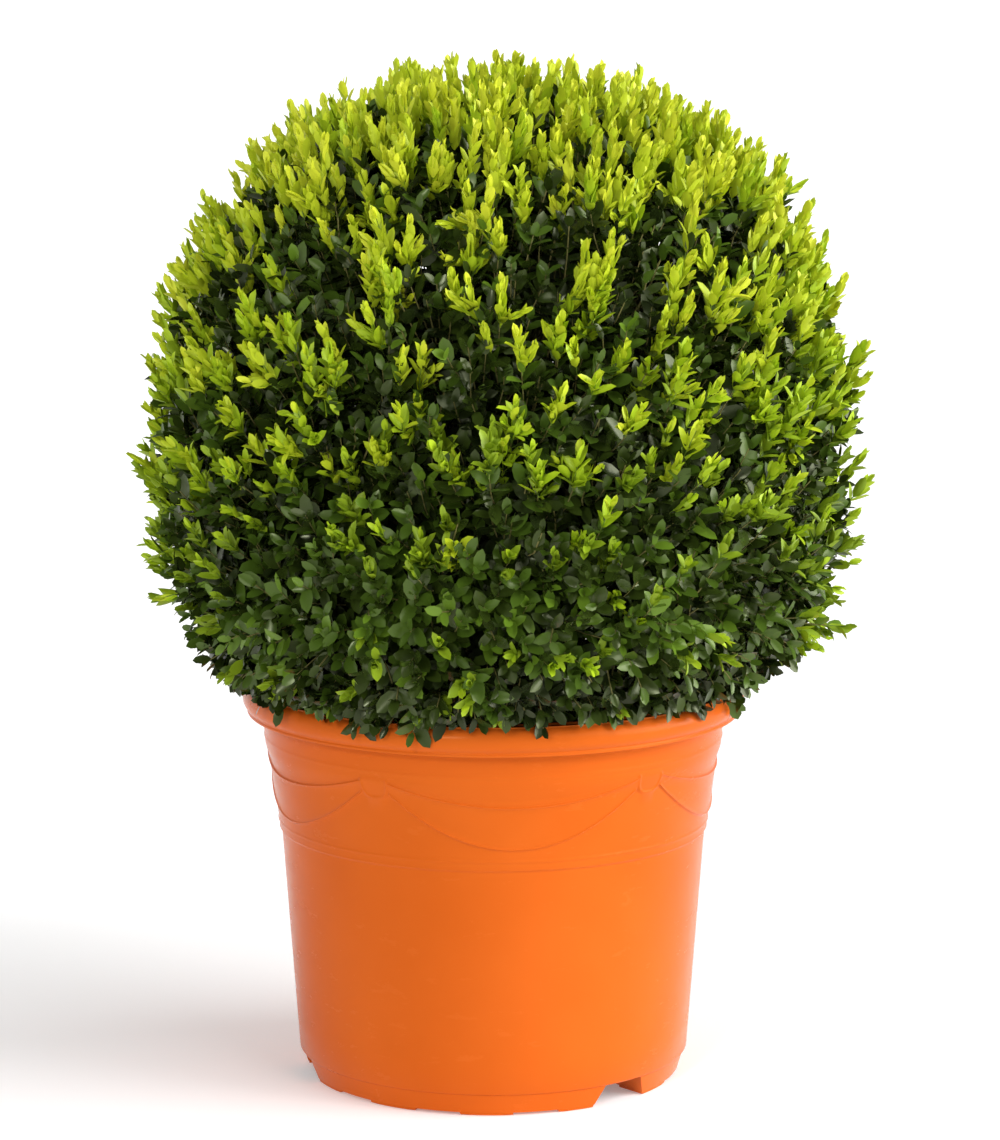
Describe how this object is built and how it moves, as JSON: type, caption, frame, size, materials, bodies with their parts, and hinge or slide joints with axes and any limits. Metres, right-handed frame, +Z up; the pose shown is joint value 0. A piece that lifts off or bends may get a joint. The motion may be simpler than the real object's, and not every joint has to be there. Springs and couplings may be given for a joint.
{
  "type": "potted box topiary ball",
  "caption": "Clipped evergreen box ball on a short branching stem, standing in a tapered moulded plastic pot with a rolled rim.",
  "frame": {"origin": "centre of the pot's underside, at the level of the pads it stands on", "axes": "+Z up along the pot's axis; -Y towards the front of the plant; +X to the plant's right as seen from the front"},
  "size_m": [0.5775, 0.5705, 0.8107],
  "materials": {
    "pot_plastic": "satin",
    "compost": "matte",
    "bark": "matte",
    "leaves": "satin"
  },
  "bodies": {
    "root": {"pot": "pot_plastic", "compost": "compost", "stem": "bark", "bough_leader": "bark", "bough_1": "bark", "bough_2": "bark", "bough_3": "bark", "bough_4": "bark", "bough_5": "bark", "bough_6": "bark", "crown": "leaves"}
  },
  "joints": []
}
